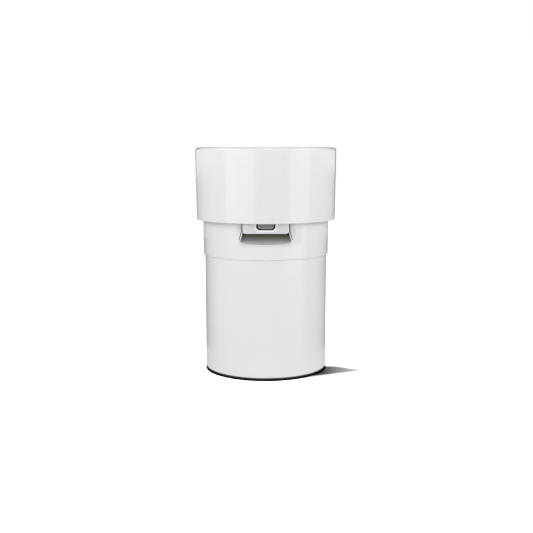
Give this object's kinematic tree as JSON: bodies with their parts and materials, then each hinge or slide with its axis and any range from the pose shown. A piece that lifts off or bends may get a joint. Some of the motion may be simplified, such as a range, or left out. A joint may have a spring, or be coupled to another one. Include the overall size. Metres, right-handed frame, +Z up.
{
  "type": "air purifier",
  "caption": "Cylindrical air purifier: slim canister with a pleated cartridge, collar with a finger scoop and sprung latch strap, and a wide lift-off fan drum with a top grille.",
  "frame": {"origin": "middle of the underside, on the surface that it stands on", "axes": "+Z up along the axis of the drum, -Y towards the finger scoop and latch strap, +X to the right seen from the front"},
  "size_m": [0.2158, 0.2158, 0.3411],
  "materials": {
    "shell_white": "satin gloss white ABS",
    "panel_white": "gloss white ABS",
    "grille_white": "fine matt white ABS",
    "inner_white": "natural white polypropylene",
    "strap_white": "satin gloss pale grey-white ABS",
    "scoop_grey": "matt warm grey ABS",
    "catch_grey": "matt grey acetal",
    "foot_rubber": "matt black rubber",
    "filter_cap": "matt grey polypropylene",
    "cage_white": "matt white polypropylene",
    "pleat_paper": "white glass-fibre paper",
    "carbon_felt": "black activated-carbon felt",
    "gasket_foam": "closed-cell dark grey foam",
    "pull_ribbon": "woven blue ribbon",
    "fan_grey": "matt grey glass-filled nylon",
    "steel": "zinc-plated steel",
    "bearing_steel": "ground bearing steel",
    "stator_steel": "stacked silicon-steel laminations",
    "winding_copper": "enamelled copper wire",
    "magnet_grey": "bonded ferrite",
    "board_green": "green solder mask",
    "black_plastic": "matt black nylon",
    "light_pipe": "frosted polycarbonate",
    "contact_brass": "plated brass"
  },
  "bodies": {
    "canister": {"canister_shell": "shell_white", "base_plate": "inner_white", "base_screws": "steel", "foot_ring": "foot_rubber", "filter_seat": "inner_white", "neck_ring": "shell_white", "scoop_liner": "scoop_grey", "latch_catch": "catch_grey", "catch_screws": "steel"},
    "filter": {"filter_bottom_cap": "filter_cap", "filter_top_cap": "filter_cap", "hepa_pleats": "pleat_paper", "carbon_sleeve": "carbon_felt", "filter_core_cage": "cage_white", "filter_outer_cage": "cage_white", "filter_gasket": "gasket_foam", "filter_pull_tab": "pull_ribbon"},
    "head": {"head_shell": "shell_white", "fan_deck": "inner_white", "deck_screws": "steel", "rest_ring": "foot_rubber", "power_socket": "black_plastic", "socket_pin": "contact_brass", "fan_housing": "inner_white", "outlet_vanes": "inner_white", "motor_mount": "inner_white", "motor_screws": "steel", "bearing_lower": "bearing_steel", "bearing_upper": "bearing_steel", "motor_stator": "stator_steel", "motor_windings": "winding_copper", "outlet_grille": "grille_white", "control_panel": "panel_white", "light_guide": "light_pipe", "circuit_board": "board_green", "board_screws": "steel", "tact_switches": "black_plastic", "latch_pin": "steel", "latch_spring": "steel", "spring_rivet": "steel"},
    "latch": {"latch_plate": "strap_white"},
    "impeller": {"impeller_wheel": "fan_grey", "impeller_shroud": "fan_grey", "rotor_cup": "steel", "rotor_magnet": "magnet_grey", "motor_shaft": "steel", "shaft_clip": "steel"},
    "power_button": {"power_button": "panel_white"},
    "speed_button": {"speed_button": "panel_white"},
    "sleep_button": {"sleep_button": "panel_white"}
  },
  "joints": [
    {"name": "head_lift", "type": "slide", "parent": "canister", "child": "head", "axis": [0, 0, 1], "range_m": [0, 0.49]},
    {"name": "filter_lift", "type": "slide", "parent": "canister", "child": "filter", "axis": [0, 0, 1], "range_m": [0, 0.245]},
    {"name": "latch_hinge", "type": "hinge", "parent": "head", "child": "latch", "pos_m": [0, -0.0944, 0.2445], "axis": [-1, 0, 0], "range_deg": [0, 7], "stiffness_Nm_per_rad": 0.4, "springref_deg": -5.73, "deforming": ["latch_spring"]},
    {"name": "impeller_spin", "type": "hinge", "parent": "head", "child": "impeller", "pos_m": [0, 0, 0.28], "axis": [0, 0, 1], "continuous": true},
    {"name": "power_press", "type": "slide", "parent": "head", "child": "power_button", "axis": [0, 0, -1], "range_m": [0, 0.0009], "stiffness_N_per_m": 800, "springref_m": -0.0005},
    {"name": "speed_press", "type": "slide", "parent": "head", "child": "speed_button", "axis": [0, 0, -1], "range_m": [0, 0.0009], "stiffness_N_per_m": 800, "springref_m": -0.0005},
    {"name": "sleep_press", "type": "slide", "parent": "head", "child": "sleep_button", "axis": [0, 0, -1], "range_m": [0, 0.0009], "stiffness_N_per_m": 800, "springref_m": -0.0005}
  ],
  "couplings": [
    {"joint": "filter_lift", "follows": "head_lift", "ratio": 0.5}
  ]
}
